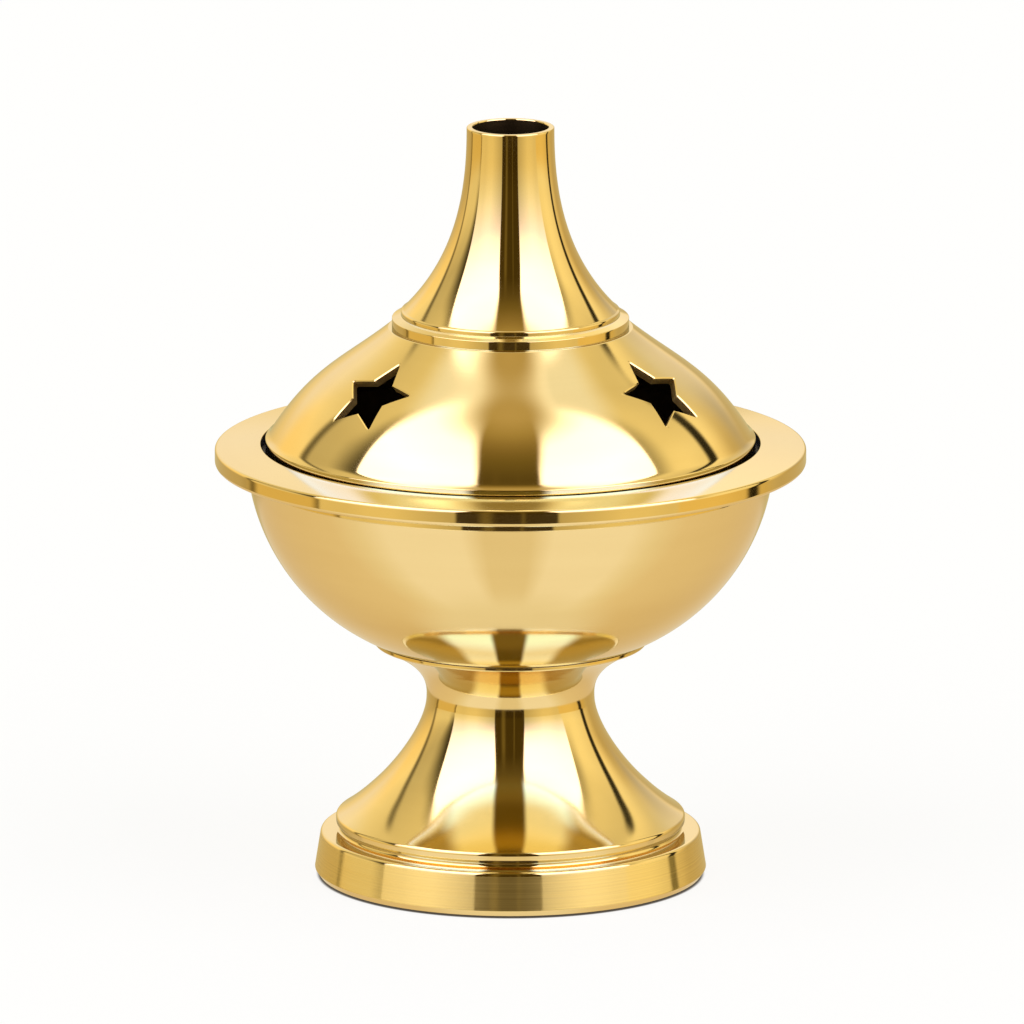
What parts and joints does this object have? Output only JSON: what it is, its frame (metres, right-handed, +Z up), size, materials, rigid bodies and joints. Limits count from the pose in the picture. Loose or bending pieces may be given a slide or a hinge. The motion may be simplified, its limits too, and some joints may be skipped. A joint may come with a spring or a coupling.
{
  "type": "cone incense burner",
  "caption": "Turned brass cone incense burner: footed bowl with a broad rim, and a lift-off domed lid with star vents and a trumpet chimney.",
  "frame": {"origin": "on the axis, in the plane of the felt's underside, where the burner stands", "axes": "+Z up along the turned axis, -Y towards the viewer of the picture, +X to the viewer's right"},
  "size_m": [0.076, 0.076, 0.0981],
  "materials": {
    "polished_brass": "turned and polished, lacquered",
    "plain_brass": "satin, as turned",
    "steel": "bright plated",
    "felt": "matt wool felt"
  },
  "bodies": {
    "base": {"base_felt": "felt", "plinth": "polished_brass", "pedestal": "polished_brass", "bowl": "polished_brass", "rim_ring": "polished_brass", "tie_bolt": "steel", "bolt_washer": "steel", "nut_washer": "steel", "clamp_nut": "steel"},
    "dish": {"cone_dish": "plain_brass", "cone_cup": "plain_brass", "cup_rivet": "plain_brass"},
    "lid": {"lid_dome": "polished_brass", "chimney_collar": "polished_brass", "chimney": "polished_brass", "chimney_ring_nut": "plain_brass"}
  },
  "joints": [
    {"name": "lid_lift", "type": "slide", "parent": "base", "child": "lid", "axis": [0, 0, 1], "range_m": [0, 0.06]},
    {"name": "dish_lift", "type": "slide", "parent": "base", "child": "dish", "axis": [0, 0, 1], "range_m": [0, 0.024]}
  ]
}
